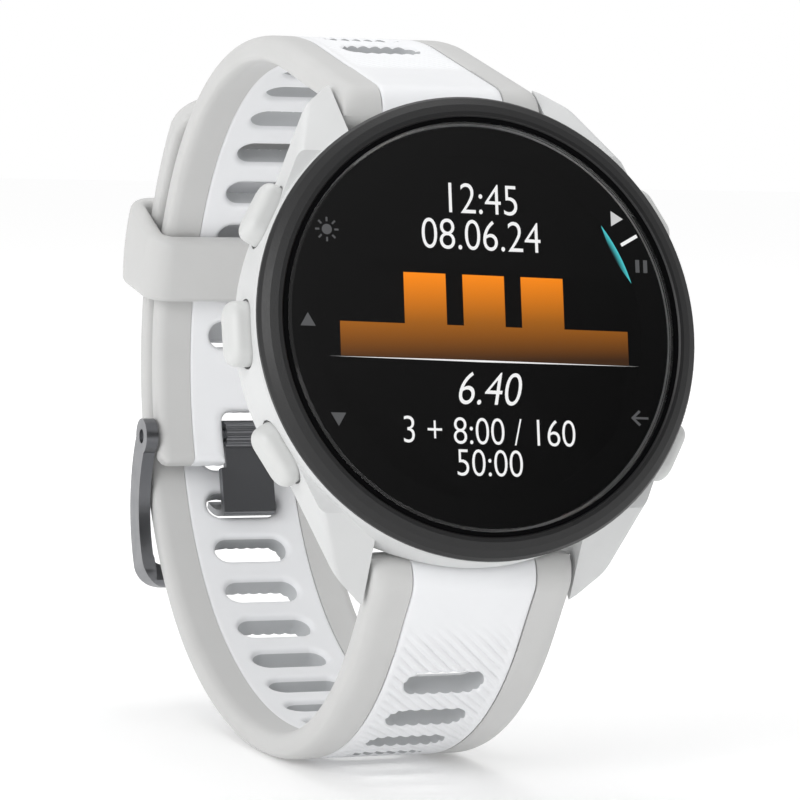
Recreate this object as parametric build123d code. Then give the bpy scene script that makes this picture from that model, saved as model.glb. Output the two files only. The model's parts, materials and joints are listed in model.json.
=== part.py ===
from build123d import *
import os
from math import acos, atan2, cos, degrees, hypot, radians, sin

# A running watch, buckled as it is worn. +X points to 3 o'clock and +Z to 12 o'clock, the dial faces
# -Y and the wrist is on the +Y side. The origin is the centre of the sensor window on the case back.
# Lengths are millimetres.

# Driving dimensions
CASE_R = 21.5
THICKNESS = 11.6
LENS_R = 18.95
LENS_T = 1.2
BEZEL_INNER_R = 19.4
CAVITY_R = 16.9
STRAP_WIDTH = 19.8
LUG_GAP = 20.6
CORE_WIDTH = 12.4
STRAP_T = 2.7
BAR_Y, BAR_Z = -2.6, 22.0
LOOP_Y, LOOP_Z = 25.7, 2.6
INNER_LAYER_R = 32.8
OUTER_LAYER_R = 36.8
BUTTON_ANGLES = {"light": 150, "up": 180, "down": 210, "start": 30, "back": 330}
BUTTON_TRAVEL = 0.5

# Case levels, measured from the sensor window towards the glass
COVER_Z, COVER_T = 0.9, 1.3
GASKET_T = 0.4
SEAT_Z = COVER_Z + COVER_T + GASKET_T
BEZEL_Z = 9.7
RIM_Z = 10.1
BUTTON_Z = 6.6
LENS_Z = THICKNESS - LENS_T
DISPLAY_T = 1.1
DISPLAY_Z = LENS_Z - DISPLAY_T

# Strap fittings
KNUCKLE_R = 2.5
BAR_TUBE_R = 0.75
TIP_R = 0.4
RUN = 0.05
SLOT_W, SLOT_H, SLOT_PITCH = 8.0, 3.1, 5.9
TAIL_ANGLE = 62
STRAP_END_ANGLE = -9.5
PIN_ANGLE = -3.6
PIN_R = 0.75
TONGUE_SLOT_ANGLE = -15.7
UPPER_SLOT_ANGLE = 16.4
KEEPER_ANGLE, KEEPER_W = 31, 9.0

stand = Rot(90, 0, 0)


def unit(angle):
    return cos(radians(angle)), sin(radians(angle))


def on_circle(centre, radius, angle):
    c, s = unit(angle)
    return centre[0] + radius * c, centre[1] + radius * s


# The strap's side outline: arcs and a straight run that join tangentially, listed from the loose end
# to the case. Each stretch is (centre, radius, first normal angle, last normal angle), or
# (point, None, normal angle, length) for the straight run.

def tangent_normal(centre, radius, bar):
    dy, dz = bar[0] - centre[0], bar[1] - centre[1]
    reach = degrees(acos((radius - KNUCKLE_R) / hypot(dy, dz)))
    return degrees(atan2(dz, dy)), reach


def straight_run(centre, radius, angle, bar):
    start = on_circle(centre, radius, angle)
    stop = on_circle(bar, KNUCKLE_R, angle)
    return start, None, angle, hypot(stop[0] - start[0], stop[1] - start[1])


def upper_path():
    centre, bar = (LOOP_Y, LOOP_Z), (BAR_Y, BAR_Z)
    heading, reach = tangent_normal(centre, INNER_LAYER_R, bar)
    last = heading - reach
    return [(centre, INNER_LAYER_R, STRAP_END_ANGLE, last),
            straight_run(centre, INNER_LAYER_R, last, bar)]


def lower_path():
    centre, bar = (LOOP_Y, LOOP_Z), (BAR_Y, -BAR_Z)
    arcs = [(centre, OUTER_LAYER_R, TAIL_ANGLE, -48)]
    for radius, first, last in ((46.7, -48, -80), (31.5, -80, None)):
        shift = arcs[-1][1] - radius
        centre = on_circle(centre, shift, first)
        if last is None:
            heading, reach = tangent_normal(centre, radius, bar)
            last = heading + reach
        arcs.append((centre, radius, first, last))
    return arcs + [straight_run(centre, radius, last, bar)]


def length_of(stretch):
    centre, radius, first, last = stretch
    return last if radius is None else radius * radians(abs(last - first))


def station(path, distance, depth=0.0):
    """Point on the path at a distance along its outer side, and the outward normal angle there."""
    for number, (centre, radius, first, last) in enumerate(path):
        length = length_of(path[number])
        if distance <= length or number == len(path) - 1:
            if radius is None:
                turn = 90 if last_turn(path) > 0 else -90
                along = unit(first + turn)
                c, s = unit(first)
                return (centre[0] + along[0] * distance - c * depth,
                        centre[1] + along[1] * distance - s * depth), first
            angle = first + (last - first) * distance / length
            return on_circle(centre, radius - depth, angle), angle
        distance -= length


def last_turn(path):
    return path[0][3] - path[0][2]


def total_length(path):
    return sum(length_of(stretch) for stretch in path)


def edge_between(path, start, stop, depth):
    """Edges of the path's offset between two distances along its outer side."""
    edges, passed = [], 0.0
    for stretch in path:
        length = length_of(stretch)
        low, high = max(start, passed), min(stop, passed + length)
        if high - low > 1e-6:
            ends = [station([stretch], at - passed, depth)[0] if stretch[1] else
                    station(path, at, depth)[0] for at in (low, (low + high) / 2, high)]
            points = [(0, y, z) for y, z in ends]
            edges.append(ThreePointArc(*points) if stretch[1] else Line(points[0], points[2]))
        passed += length
    return edges


def band(path, start, stop, top, bottom):
    """Side face of the strap between two distances and two depths under its outer side."""
    outer = edge_between(path, start, stop, top)
    inner = edge_between(path, start, stop, bottom)
    ends = [Line(outer[0] @ 0, inner[0] @ 0), Line(outer[-1] @ 1, inner[-1] @ 1)]
    return Face(Wire([*outer, *inner, *ends]))


def disc(centre, radius):
    return Pos(0, centre[0], centre[1]) * (Plane.YZ * Circle(radius)).face()


def prism(face, x0, x1):
    return Pos(x0, 0, 0) * extrude(face, x1 - x0, dir=(1, 0, 0))


def rod(centre, radius, x0, x1):
    return prism(disc(centre, radius), x0, x1)


def slot_cutter(path, distance):
    (y, z), angle = station(path, distance, STRAP_T / 2)
    c, s = unit(angle)
    plane = Plane(origin=(0, y, z), x_dir=(1, 0, 0), z_dir=(0, c, s))
    return extrude(plane * SlotOverall(SLOT_W, SLOT_H), STRAP_T, both=True)


def half_band(path, x0, x1, start, stop, top=0.0, bottom=STRAP_T):
    return prism(band(path, start, stop, top, bottom), x0, x1)


# ---------------------------------------------------------------- case

def ring(outer, inner, z0, z1):
    height = z1 - z0
    return Pos(0, 0, z0) * (Cylinder(outer, height, align=(Align.CENTER, Align.CENTER, Align.MIN))
                            - Cylinder(inner, height, align=(Align.CENTER, Align.CENTER, Align.MIN)))


def post(radius, z0, z1, x=0.0, y=0.0):
    return Pos(x, y, z0) * Cylinder(radius, z1 - z0, align=(Align.CENTER, Align.CENTER, Align.MIN))


def block(size, x=0.0, y=0.0, z=0.0):
    return Pos(x, y, z) * Box(*size, align=(Align.CENTER, Align.CENTER, Align.MIN))


def turned(points):
    face = Face(Wire.make_polygon([(r, 0, z) for r, z in points], close=True))
    return revolve(face, axis=Axis.Z)


def pill(length, width, x0, x1):
    """Oblong bar along X, lying tangentially, centred on the button level."""
    plane = Plane(origin=(x0, 0, BUTTON_Z), x_dir=(0, 1, 0), z_dir=(1, 0, 0))
    return extrude(plane * SlotOverall(length, width), x1 - x0)


def along_x(radius, x0, x1, z=BUTTON_Z):
    return Pos(x0, 0, z) * Rot(0, 90, 0) * Cylinder(
        radius, x1 - x0, align=(Align.CENTER, Align.CENTER, Align.MIN))


CAP = {"length": 6.0, "width": 3.4, "base": 21.2, "top": 23.3, "floor": 20.65, "gap": 0.2}
STEM = {"r": 1.1, "tip": 16.0, "groove": (16.3, 16.65), "groove_r": 0.8, "clip_r": 1.9}
SEAL = {"r": 1.9, "at": (18.6, 19.4)}
SCREW = {"ring": 15.5, "shank_r": 0.7, "head_r": 1.25, "head_h": 0.7, "top": 5.4}
SCREW_ANGLES = (45, 135, 225, 315)
PORT = {"size": (8.4, 4.2), "y": -11.4}
WINDOW_R = 6.2


def lug(side_x, side_y):
    """One horn: tapered in plan, sloping to the wrist in side view."""
    inner = LUG_GAP / 2
    plan = Polygon((inner, 9), (20.0, 7.5), (12.9, 23.3), (12.3, 24.2), (11.4, 24.6), (inner, 24.6),
                   align=None)
    horn = extrude(plan, THICKNESS)
    side = Plane.YZ * Polygon((8, 1.1), (17, 1.1), (23.6, 0.7), (24.5, 1.1), (24.7, 2.0), (23.9, 2.9),
                              (16.6, 8.6), (8, 8.6), align=None)
    horn &= extrude(side, 2 * CASE_R, both=True)
    # the flank leans in towards the wrist like the case wall beside it
    flank = Plane(origin=(19.6, 8.4, 4.6), x_dir=(-7.1, 15.8, 0), z_dir=(15.8, 7.1, -15.5))
    horn -= flank * Box(60, 60, 20, align=(Align.CENTER, Align.CENTER, Align.MIN))
    crest = horn.edges().filter_by(lambda e: e.center().Y > 17 and 6 < e.center().Z < 7)
    horn = fillet(crest, 0.7)
    if side_x < 0:
        horn = mirror(horn, about=Plane.YZ)
    if side_y < 0:
        horn = mirror(horn, about=Plane.XZ)
    return horn


def case_body():
    shell = turned([(0, 1.0), (18.7, 1.0), (20.3, 1.7), (21.2, 3.0), (CASE_R, 4.6), (CASE_R, 9.3),
                    (21.2, BEZEL_Z), (19.3, BEZEL_Z), (19.3, RIM_Z), (0, RIM_Z)])
    for side_x in (-1, 1):
        for side_y in (-1, 1):
            shell += lug(side_x, side_y)
    # hollow, cover recess and screw bosses
    shell -= post(CAVITY_R, 0, THICKNESS)
    shell -= post(17.8, 0, SEAT_Z)
    bosses = None
    for angle in SCREW_ANGLES:
        x, y = on_circle((0, 0), SCREW["ring"], angle)
        boss = post(1.6, SEAT_Z, 6.0, x, y)
        bosses = boss if bosses is None else bosses + boss
    shell += bosses & post(CAVITY_R + 0.5, SEAT_Z, 6.0)
    for angle in SCREW_ANGLES:
        x, y = on_circle((0, 0), SCREW["ring"], angle)
        shell -= post(SCREW["shank_r"] + 0.02, SEAT_Z - 1, SCREW["top"] + 0.2, x, y)
    # strap clearance between the horns, and the blind holes for the bar tips
    for side_y in (-1, 1):
        y, z = side_y * BAR_Z, -BAR_Y
        groove = Pos(0, y, z) * Rot(0, 90, 0) * Cylinder(KNUCKLE_R + 0.4, LUG_GAP)
        shell -= groove
        shell -= Pos(0, y, z) * Rot(0, 90, 0) * Cylinder(TIP_R + RUN, LUG_GAP + 2.6)
    # button wells, bores and seal grooves
    for angle in BUTTON_ANGLES.values():
        well = pill(CAP["length"] + 2 * CAP["gap"], CAP["width"] + 2 * CAP["gap"], CAP["floor"], 24)
        tool = well + along_x(STEM["r"] + RUN, 15, 22) + along_x(SEAL["r"], *SEAL["at"])
        shell -= Rot(0, 0, angle) * tool
    return shell


def bezel():
    points = [(BEZEL_INNER_R, BEZEL_Z), (21.3, BEZEL_Z), (CASE_R, 9.95), (CASE_R, 10.3),
              (21.25, 10.75), (20.6, 11.15), (19.9, 11.42), (19.55, 11.45), (BEZEL_INNER_R, 11.3)]
    return turned(points)


def lens():
    return turned([(0, LENS_Z), (LENS_R, LENS_Z), (LENS_R, THICKNESS - 0.25),
                   (LENS_R - 0.25, THICKNESS), (0, THICKNESS)])


def rear_cover():
    edge = COVER_Z + 0.35
    cover = turned([(0, COVER_Z), (17.1, COVER_Z), (17.65, edge), (17.65, COVER_Z + COVER_T),
                    (0, COVER_Z + COVER_T)])
    cover -= post(WINDOW_R + 0.05, 0, 4)
    for angle in SCREW_ANGLES:
        x, y = on_circle((0, 0), SCREW["ring"], angle)
        cover -= post(SCREW["shank_r"] + 0.1, 0, 4, x, y)
        cover -= post(SCREW["head_r"] + 0.1, 0, COVER_Z + SCREW["head_h"], x, y)
    length, width = PORT["size"]
    cover -= block((length, width, 4), y=PORT["y"])
    return cover


def rear_screws():
    screws = []
    for angle in SCREW_ANGLES:
        x, y = on_circle((0, 0), SCREW["ring"], angle)
        head = post(SCREW["head_r"], COVER_Z + 0.05, COVER_Z + SCREW["head_h"], x, y)
        shank = post(SCREW["shank_r"], COVER_Z + SCREW["head_h"], SCREW["top"], x, y)
        drive = Pos(x, y, COVER_Z + 0.05) * extrude(RegularPolygon(0.6, 6), 0.4)
        screws.append(head + shank - drive)
    return screws


def sensor_window():
    return turned([(0, 0), (5.0, 0), (5.8, 0.2), (WINDOW_R, 0.6), (WINDOW_R, 1.75), (0, 1.75)])


def sensor_leds():
    spots = [(0, 0, 1.6), (2.6, 0, 1.1), (-2.6, 0, 1.1), (0, 2.6, 1.1), (0, -2.6, 1.1)]
    return [block((size, size, 0.5), x, y, 1.8) for x, y, size in spots]


def charge_block():
    length, width = PORT["size"]
    body = block((length - 0.1, width - 0.1, 1.7), y=PORT["y"], z=COVER_Z + 0.25)
    for step in range(4):
        body -= post(0.55, 0, 4, -2.85 + 1.9 * step, PORT["y"])
    return body


def charge_pins():
    return [post(0.53, COVER_Z + 0.1, 3.1, -2.85 + 1.9 * step, PORT["y"]) for step in range(4)]


BOARD_Z = 7.2
BOARD_T = 0.8
FRAME_TOP = 9.1


def switch_notches(depth_in, half_width, z0, z1):
    """Radial pockets at the five buttons, for the frame and the board."""
    tools = None
    for angle in BUTTON_ANGLES.values():
        tool = Rot(0, 0, angle) * block((6, 2 * half_width, z1 - z0), x=depth_in + 3, z=z0)
        tools = tool if tools is None else tools + tool
    return tools


def inner_frame():
    body = ring(16.6, 14.6, 6.2, FRAME_TOP) + ring(14.7, 13.7, 6.2, BOARD_Z)
    body -= switch_notches(13.8, 2.4, 4.0, 8.6)
    return body


def main_board():
    board = post(14.5, BOARD_Z, BOARD_Z + BOARD_T)
    board -= switch_notches(13.8, 2.4, 4.0, 8.6)
    board -= block((8, 3, 3), y=-14.2, z=6)
    return board


def board_chips():
    top = BOARD_Z + BOARD_T
    spots = [(-8, 4, 4, 4, 0.8), (-8, -3, 3, 5, 0.7), (7.5, -6, 3, 3, 0.6), (1, -9, 2, 1.2, 0.6),
             (4, -9, 2, 1.2, 0.6), (-3, -10, 1.2, 2, 0.5), (2, 10.5, 3.2, 1.5, 0.9), (-3, 10, 2, 2, 0.7)]
    return [block((w, d, h), x, y, top) for x, y, w, d, h in spots]


def shield_can():
    top = BOARD_Z + BOARD_T
    can = block((11, 10, 1.0), 2, 1.5, top) - block((10.6, 9.6, 0.8), 2, 1.5, top)
    return can


def tact_switches():
    return [Rot(0, 0, angle) * (block((1.3, 3.6, 2.4), x=14.55, z=5.4)
                                + along_x(0.6, 15.1, 15.4)) for angle in BUTTON_ANGLES.values()]


def battery():
    cell = block((21, 16, 3.2), y=1, z=3.3)
    return fillet(cell.edges().filter_by(Axis.Z), 1.2)


def battery_flex():
    return block((2.4, 0.15, 3.6), x=-6, y=-7.1, z=3.6)


def vibration_motor():
    return post(3.8, 3.3, 5.9, y=-11.4)


def buzzer():
    return post(4.0, COVER_Z + COVER_T + 0.05, COVER_Z + COVER_T + 0.6, y=11.0)


def gps_antenna():
    strip = ring(16.4, 15.0, FRAME_TOP, FRAME_TOP + 0.18)
    return strip - block((40, 40, 3), y=-17, z=8)


def display_flex():
    strip = block((6, 0.15, DISPLAY_Z - 8.0), y=-13.6, z=8.0) + block((6, 1.2, 0.15), y=-13.1, z=8.0)
    return strip


def button_cap(angle):
    cap = pill(CAP["length"], CAP["width"], CAP["base"], CAP["top"])
    rim = cap.edges().filter_by(lambda e: e.center().X > CAP["top"] - 0.1)
    cap = fillet(rim, 1.0)
    low, high = STEM["groove"]
    cap += along_x(STEM["r"], high, CAP["base"] + 0.1) + along_x(STEM["groove_r"], low - 0.1, high + 0.1)
    cap += along_x(STEM["r"], STEM["tip"], low)
    return Rot(0, 0, angle) * cap


def button_clip(angle):
    low, high = STEM["groove"]
    clip = along_x(STEM["clip_r"], low, high) - along_x(STEM["groove_r"], low, high)
    clip -= Pos((low + high) / 2, 0, BUTTON_Z + 1.6) * Box(1, 1.3, 3.2)
    return Rot(0, 0, angle) * clip


def button_seals():
    low, high = SEAL["at"]
    seal = along_x(SEAL["r"] - 0.05, low + 0.05, high - 0.05)
    seal = fillet(seal.edges(), 0.2) - along_x(STEM["r"] + 0.02, low, high)
    return [Rot(0, 0, angle) * seal for angle in BUTTON_ANGLES.values()]


# --------------------------------------------------------------- strap

EDGE_X = STRAP_WIDTH / 2
CORE_X = CORE_WIDTH / 2
BRIDGE_LENGTH = 7.0
NOTCH_X = 2.6


def bar_centre(side):
    return BAR_Y, side * BAR_Z


def slot_distances(path, first_angle, count_back, count_on):
    start = radians(abs(path[0][2] - first_angle)) * path[0][1]
    return [start + SLOT_PITCH * step for step in range(-count_back, count_on + 1)]


def lever_pocket(side):
    """Opening on the wrist side of the knuckle where the quick-release lever shows."""
    y, z = bar_centre(side)
    return Pos(5.4, y + 2.0, z) * Box(4.4, 4.0, 1.4)


def strap_blank(path, side):
    """Whole cross-section of one strap half, before it is shared between border and core."""
    end = total_length(path)
    blank = half_band(path, -EDGE_X, EDGE_X, 0, end)
    blank = fillet(blank.edges().filter_by(lambda e: abs(e.center().X) > EDGE_X - 0.01
                                           and e.length > 4), 0.8)
    blank += rod(bar_centre(side), KNUCKLE_R, -EDGE_X, EDGE_X)
    return blank


def bar_bore(side):
    return rod(bar_centre(side), BAR_TUBE_R + RUN, -EDGE_X - 1, EDGE_X + 1)


def strap_half(path, side, slots, core_stop):
    """Border and core of one strap half: the core is inlaid between the two side strips."""
    end = total_length(path)
    blank = strap_blank(path, side)
    core_zone = half_band(path, -CORE_X, CORE_X, core_stop, end + 6, -1, STRAP_T + 1)
    bridge = half_band(path, -CORE_X, CORE_X, end - BRIDGE_LENGTH, end + 6, STRAP_T / 2, STRAP_T + 3)
    bridge += rod(bar_centre(side), KNUCKLE_R - 0.7, -CORE_X, CORE_X)
    core_zone -= bridge
    core = blank & core_zone
    border = blank - core_zone
    for distance in slots:
        cutter = slot_cutter(path, distance)
        core -= cutter
        border -= cutter
    for tool in (bar_bore(side), lever_pocket(side)):
        core -= tool
        border -= tool
    return border, core


def upper_strap():
    path = upper_path()
    slots = slot_distances(path, UPPER_SLOT_ANGLE, 0, 10)
    border, core = strap_half(path, 1, slots, -1)
    notch = half_band(path, -NOTCH_X, NOTCH_X, -1, radians(10.5) * INNER_LAYER_R, -1, STRAP_T + 1)
    bore = rod(pin_centre(), PIN_R + RUN, -12, 12)
    return [piece - notch - bore for piece in (border, core)]


def lower_strap():
    path = lower_path()
    slots = slot_distances(path, TONGUE_SLOT_ANGLE, 7, 12)
    return strap_half(path, -1, slots, 6.0)


def pin_centre():
    return on_circle((LOOP_Y, LOOP_Z), INNER_LAYER_R - STRAP_T / 2, PIN_ANGLE)


def bar_tube(side):
    """Outer tube of the quick-release bar with its fixed tip and the slot for the lever."""
    centre = bar_centre(side)
    tube = rod(centre, BAR_TUBE_R, -9.7, 9.7) - rod(centre, TIP_R + 0.1, -7.0, 9.8)
    tube += rod(centre, TIP_R, -11.3, -9.6)
    tube -= Pos(5.2, centre[0] + 0.7, centre[1]) * Box(4.0, 1.4, 1.0)
    return tube


def bar_lever(side):
    """Sliding tip with the finger lever on the wrist side."""
    centre = bar_centre(side)
    slider = rod(centre, TIP_R, 4.8, 11.3)
    slider += Pos(6.4, centre[0] + 1.35, centre[1]) * Box(0.8, 2.7, 0.7)
    knob = Pos(6.4, centre[0] + 2.95, centre[1]) * Box(1.2, 0.7, 1.1)
    return slider + fillet(knob.edges().filter_by(Axis.Y), 0.3)


# --------------------------------------------------------------- keeper and buckle

KEEPER = {"wall": 1.7, "inner_gap": 0.25, "outer_gap": 0.9, "side_gap": 0.25}


def keeper():
    """Closed band around both strap layers, turned about the loop's centre."""
    low = INNER_LAYER_R - STRAP_T - KEEPER["inner_gap"]
    high = OUTER_LAYER_R + KEEPER["outer_gap"]
    side = EDGE_X + KEEPER["side_gap"]
    wall = KEEPER["wall"]
    spread = degrees(KEEPER_W / OUTER_LAYER_R)
    c, s = unit(KEEPER_ANGLE - spread / 2)
    plane = Plane(origin=(0, LOOP_Y, LOOP_Z), x_dir=(1, 0, 0), z_dir=(0, -s, c))
    middle = Pos(0, (low + high) / 2)
    outer = middle * RectangleRounded(2 * (side + wall), high - low + 2 * wall, 2.6)
    inner = middle * RectangleRounded(2 * side, high - low, 0.9)
    return revolve(plane * (outer - inner), Axis((0, LOOP_Y, LOOP_Z), (1, 0, 0)), spread)


FRAME = {"inner_x": 10.2, "outer_x": 11.5, "half_depth": 1.55, "eye_r": 1.9, "bar_angle": -25.3,
         "bar_clear_r": 37.5, "bar_top": -12.9, "foot": -15.3, "outer_corner": 2.6, "inner_corner": 1.2,
         "notch_r": 1.0, "notch_out": 2.9, "notch_half": 3.4, "side_step": 0.1}


def arm_centres():
    loop = (LOOP_Y, LOOP_Z)
    return pin_centre(), on_circle(loop, 37.1, -17), on_circle(loop, 38.3, FRAME["bar_angle"])


def plan_prism(half_x, low, high, corner):
    """Upright rectangle with round corners, run through in the Y direction."""
    outline = Plane.XZ * Pos(0, (low + high) / 2) * RectangleRounded(2 * half_x, high - low, corner)
    return extrude(outline, 80, both=True)


def buckle_frame():
    """One piece of plate: two curved arms and the bar outside the loose end of the strap."""
    start, middle, stop = arm_centres()
    half_depth, eye_r = FRAME["half_depth"], FRAME["eye_r"]
    inner_x, outer_x = FRAME["inner_x"], FRAME["outer_x"]
    line = ThreePointArc(*[(0, y, z) for y, z in (start, middle, stop)])
    arm_axis = line.arc_center
    angles = [degrees(atan2(z - arm_axis.Z, y - arm_axis.Y)) for y, z in (start, stop)]
    path = [((arm_axis.Y, arm_axis.Z), line.radius + half_depth, *angles)]
    arm = band(path, 0, total_length(path), 0, 2 * half_depth)
    frame = prism(arm, -outer_x, outer_x) + rod(stop, half_depth, -outer_x, outer_x)
    frame += rod(start, eye_r, -outer_x, outer_x)
    frame &= plan_prism(outer_x, FRAME["foot"], 20, FRAME["outer_corner"])
    frame -= plan_prism(inner_x, FRAME["bar_top"], 20, FRAME["inner_corner"])
    loop, clear_x = (LOOP_Y, LOOP_Z), inner_x - FRAME["side_step"]
    frame -= rod(loop, FRAME["bar_clear_r"], -clear_x, clear_x)
    notch = on_circle(loop, FRAME["bar_clear_r"] + FRAME["notch_out"], FRAME["bar_angle"] + 1)
    frame -= rod(notch, FRAME["notch_r"], -FRAME["notch_half"], FRAME["notch_half"])
    return frame - rod(start, PIN_R + 0.01, -13, 13)


def buckle_pin():
    return rod(pin_centre(), PIN_R, -11.2, 11.2)


TONGUE = {"half_width": 2.9, "neck_half": 2.35, "neck_length": 3.6, "barrel_r": 1.6, "leg_t": 1.0,
          "hook_t": 0.7, "hook_shift": 0.25, "heel_turn": 22, "tip_turn": 15,
          "rib_r": 0.3, "rib_angle": 180, "rib_step": 26}


def buckle_tongue():
    """Barrel on the pin, a leg along the inside of the strap, and a hook through one slot that
    follows a circle about the pin."""
    pin = pin_centre()
    loop = (LOOP_Y, LOOP_Z)
    slot = on_circle(loop, OUTER_LAYER_R - STRAP_T / 2, TONGUE_SLOT_ANGLE)
    reach = hypot(slot[0] - pin[0], slot[1] - pin[1]) + TONGUE["hook_shift"]
    at_slot = degrees(atan2(slot[1] - pin[1], slot[0] - pin[0]))
    half = TONGUE["half_width"]
    hook_first, hook_last = at_slot - TONGUE["heel_turn"], at_slot + TONGUE["tip_turn"]
    hook_t = TONGUE["hook_t"]
    hook_path = [(pin, reach + hook_t / 2, hook_first, hook_last)]
    hook = prism(band(hook_path, 0, total_length(hook_path), 0, hook_t), -half, half)
    heel = on_circle(pin, reach, hook_first)
    c, s = unit(hook_first)
    leg_half = TONGUE["leg_t"] / 2

    def leg(near, half_x):
        foot = on_circle(pin, near, hook_first)
        corners = [(foot[0] - s * leg_half, foot[1] + c * leg_half),
                   (heel[0] - s * leg_half, heel[1] + c * leg_half),
                   (heel[0] + s * leg_half, heel[1] - c * leg_half),
                   (foot[0] + s * leg_half, foot[1] - c * leg_half)]
        return prism(Face(Wire.make_polygon([(0, y, z) for y, z in corners], close=True)), -half_x, half_x)

    neck = TONGUE["neck_half"]
    tongue = rod(pin, TONGUE["barrel_r"], -neck, neck) + leg(0, neck) + leg(TONGUE["neck_length"], half)
    tongue += hook + rod(heel, hook_t / 2, -half, half)
    for step in range(-2, 3):
        rib = on_circle(pin, TONGUE["barrel_r"] + 0.1, TONGUE["rib_angle"] + TONGUE["rib_step"] * step)
        tongue -= rod(rib, TONGUE["rib_r"], -neck, neck)
    return tongue - rod(pin, PIN_R + RUN, -half - 1, half + 1)


# --------------------------------------------------------------- write the parts

def save(name, shape, standing=False):
    solids = shape if isinstance(shape, list) else [shape]
    placed = [stand * solid if standing else solid for solid in solids]
    flat = [solid for item in placed for solid in item.solids()]
    whole = flat[0] if len(flat) == 1 else Compound(children=flat)
    whole.label = name
    export_step(whole, os.path.join("parts", name + ".step"))


def main():
    os.makedirs("parts", exist_ok=True)
    case_nodes = {
        "case_body": case_body(),
        "bezel": bezel(),
        "lens": lens(),
        "lens_gasket": ring(18.7, 17.5, RIM_Z, LENS_Z),
        "display_panel": post(CAVITY_R - 0.15, DISPLAY_Z, LENS_Z),
        "display_flex": display_flex(),
        "inner_frame": inner_frame(),
        "main_board": main_board(),
        "board_chips": board_chips(),
        "shield_can": shield_can(),
        "tact_switches": tact_switches(),
        "battery": battery(),
        "battery_flex": battery_flex(),
        "vibration_motor": vibration_motor(),
        "buzzer": buzzer(),
        "gps_antenna": gps_antenna(),
        "rear_cover": rear_cover(),
        "rear_gasket": ring(17.6, 17.0, COVER_Z + COVER_T, SEAT_Z),
        "rear_screws": rear_screws(),
        "sensor_window": sensor_window(),
        "sensor_leds": sensor_leds(),
        "sensor_board": post(5.8, 2.3, 3.1),
        "charge_block": charge_block(),
        "charge_pins": charge_pins(),
        "button_seals": button_seals(),
    }
    for name, angle in BUTTON_ANGLES.items():
        case_nodes["button_" + name] = button_cap(angle)
        case_nodes["clip_" + name] = button_clip(angle)
    for name, shape in case_nodes.items():
        save(name, shape, standing=True)

    upper_border, upper_core = upper_strap()
    lower_border, lower_core = lower_strap()
    save("upper_strap_border", upper_border)
    save("upper_strap_core", upper_core)
    save("lower_strap_border", lower_border)
    save("lower_strap_core", lower_core)
    for name, side in (("upper", 1), ("lower", -1)):
        save(name + "_bar_tube", bar_tube(side))
        save(name + "_bar_lever", bar_lever(side))
    save("keeper", keeper())
    save("buckle_frame", buckle_frame())
    save("buckle_pin", buckle_pin())
    save("buckle_tongue", buckle_tongue())


main()
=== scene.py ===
import json
import math
import bpy
import numpy as np
from mathutils import Matrix, Vector


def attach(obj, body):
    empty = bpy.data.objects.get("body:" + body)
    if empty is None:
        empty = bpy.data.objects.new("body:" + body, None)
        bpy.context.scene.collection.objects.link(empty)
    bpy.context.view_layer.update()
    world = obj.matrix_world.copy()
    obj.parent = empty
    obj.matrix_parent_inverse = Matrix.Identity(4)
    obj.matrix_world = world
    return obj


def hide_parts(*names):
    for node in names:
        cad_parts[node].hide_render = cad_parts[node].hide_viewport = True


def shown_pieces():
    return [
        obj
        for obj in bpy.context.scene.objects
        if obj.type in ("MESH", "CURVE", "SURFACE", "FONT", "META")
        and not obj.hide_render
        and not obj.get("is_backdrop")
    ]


# Running watch, buckled. +X is 3 o'clock, +Z is 12 o'clock, the dial faces -Y. Shapes below are in mm.

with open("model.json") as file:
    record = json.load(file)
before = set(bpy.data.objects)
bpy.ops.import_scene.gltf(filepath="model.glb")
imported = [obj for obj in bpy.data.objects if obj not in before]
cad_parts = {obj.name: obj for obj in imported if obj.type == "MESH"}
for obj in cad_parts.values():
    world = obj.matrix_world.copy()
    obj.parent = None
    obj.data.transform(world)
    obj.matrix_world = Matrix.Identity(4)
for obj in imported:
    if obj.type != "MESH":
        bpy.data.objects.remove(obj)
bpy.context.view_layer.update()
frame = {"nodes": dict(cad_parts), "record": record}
mm = 0.001
print("frame loaded,", len(frame["nodes"]), "nodes")


# materials

def toLinear(hexColour):
    values = [int(hexColour[i:i + 2], 16) / 255 for i in (1, 3, 5)]
    return tuple(v / 12.92 if v <= 0.04045 else ((v + 0.055) / 1.055) ** 2.4 for v in values) + (1.0,)


def addNode(tree, kind, settings=None, links=None):
    # settings are node attributes or socket values, links say which socket feeds which
    node = tree.nodes.new(kind)
    for key, value in (settings or {}).items():
        if key in node.inputs:
            node.inputs[key].default_value = value
        else:
            setattr(node, key, value)
    for key, (source, output) in (links or {}).items():
        tree.links.new(source.outputs[output], node.inputs[key])
    return node


def newMaterial(name, colour, roughness, **sockets):
    material = bpy.data.materials.new(name)
    material.use_nodes = True
    tree = material.node_tree
    shader = tree.nodes["Principled BSDF"]
    shader.inputs["Base Color"].default_value = toLinear(colour)
    shader.inputs["Roughness"].default_value = roughness
    for key, value in sockets.items():
        shader.inputs[key.replace("_", " ")].default_value = value
    return material, tree, shader


def addGrain(tree, shader, grain, height, detail=2.0):
    # fine moulded or blasted texture, grain is its size in mm
    place = addNode(tree, "ShaderNodeTexCoord")
    noise = addNode(tree, "ShaderNodeTexNoise", {"Scale": 1 / (grain * mm), "Detail": detail},
                    {"Vector": (place, "Object")})
    bump = addNode(tree, "ShaderNodeBump", {"Strength": 1.0, "Distance": height * mm},
                   {"Height": (noise, "Fac")})
    tree.links.new(bump.outputs["Normal"], shader.inputs["Normal"])
    return noise


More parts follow.
